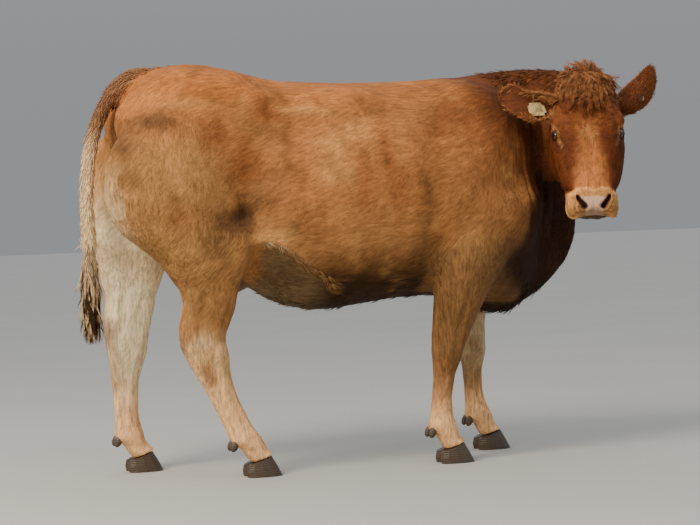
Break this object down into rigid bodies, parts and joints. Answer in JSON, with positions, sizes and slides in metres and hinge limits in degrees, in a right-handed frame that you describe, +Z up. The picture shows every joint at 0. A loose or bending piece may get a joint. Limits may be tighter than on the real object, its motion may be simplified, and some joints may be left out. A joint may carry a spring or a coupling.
{
  "type": "standing cow",
  "caption": "Life-size standing cow of a russet beef type, hornless, head turned to its right, tail hanging; a still display model that stands on its own hooves.",
  "frame": {"origin": "centre of the footprint box, on the floor the hooves stand on", "axes": "+X the way the trunk points, from tail to chest; +Y the animal's left; +Z up. The head is turned to the animal's right, towards -Y."},
  "size_m": [1.9852, 0.8197, 1.3819],
  "materials": {
    "russet_hide": "short russet coat over hide, paler on the inner legs and the muzzle",
    "hoof_horn": "dark, dull, finely ringed horn",
    "switch_hair": "long wavy hair",
    "udder_skin": "soft skin with fine down",
    "eyeball": "wet and dark",
    "tag_plastic": "faded yellow moulded tag, bare"
  },
  "bodies": {
    "root": {"trunk": "russet_hide", "neck": "russet_hide", "head": "russet_hide", "lower_jaw": "russet_hide", "ear_left": "russet_hide", "ear_right": "russet_hide", "tail": "russet_hide", "thigh_left": "russet_hide", "thigh_right": "russet_hide", "hind_shank_left": "russet_hide", "hind_shank_right": "russet_hide", "forearm_left": "russet_hide", "forearm_right": "russet_hide", "fore_shank_left": "russet_hide", "fore_shank_right": "russet_hide", "tail_switch": "switch_hair", "udder": "udder_skin", "eye_left": "eyeball", "eye_right": "eyeball", "ear_tag_left": "tag_plastic", "ear_tag_right": "tag_plastic", "hind_claw_left_outer": "hoof_horn", "hind_claw_left_inner": "hoof_horn", "hind_claw_right_outer": "hoof_horn", "hind_claw_right_inner": "hoof_horn", "hind_dewclaw_left_outer": "hoof_horn", "hind_dewclaw_left_inner": "hoof_horn", "hind_dewclaw_right_outer": "hoof_horn", "hind_dewclaw_right_inner": "hoof_horn", "fore_claw_left_outer": "hoof_horn", "fore_claw_left_inner": "hoof_horn", "fore_claw_right_outer": "hoof_horn", "fore_claw_right_inner": "hoof_horn", "fore_dewclaw_left_outer": "hoof_horn", "fore_dewclaw_left_inner": "hoof_horn", "fore_dewclaw_right_outer": "hoof_horn", "fore_dewclaw_right_inner": "hoof_horn"}
  },
  "joints": []
}
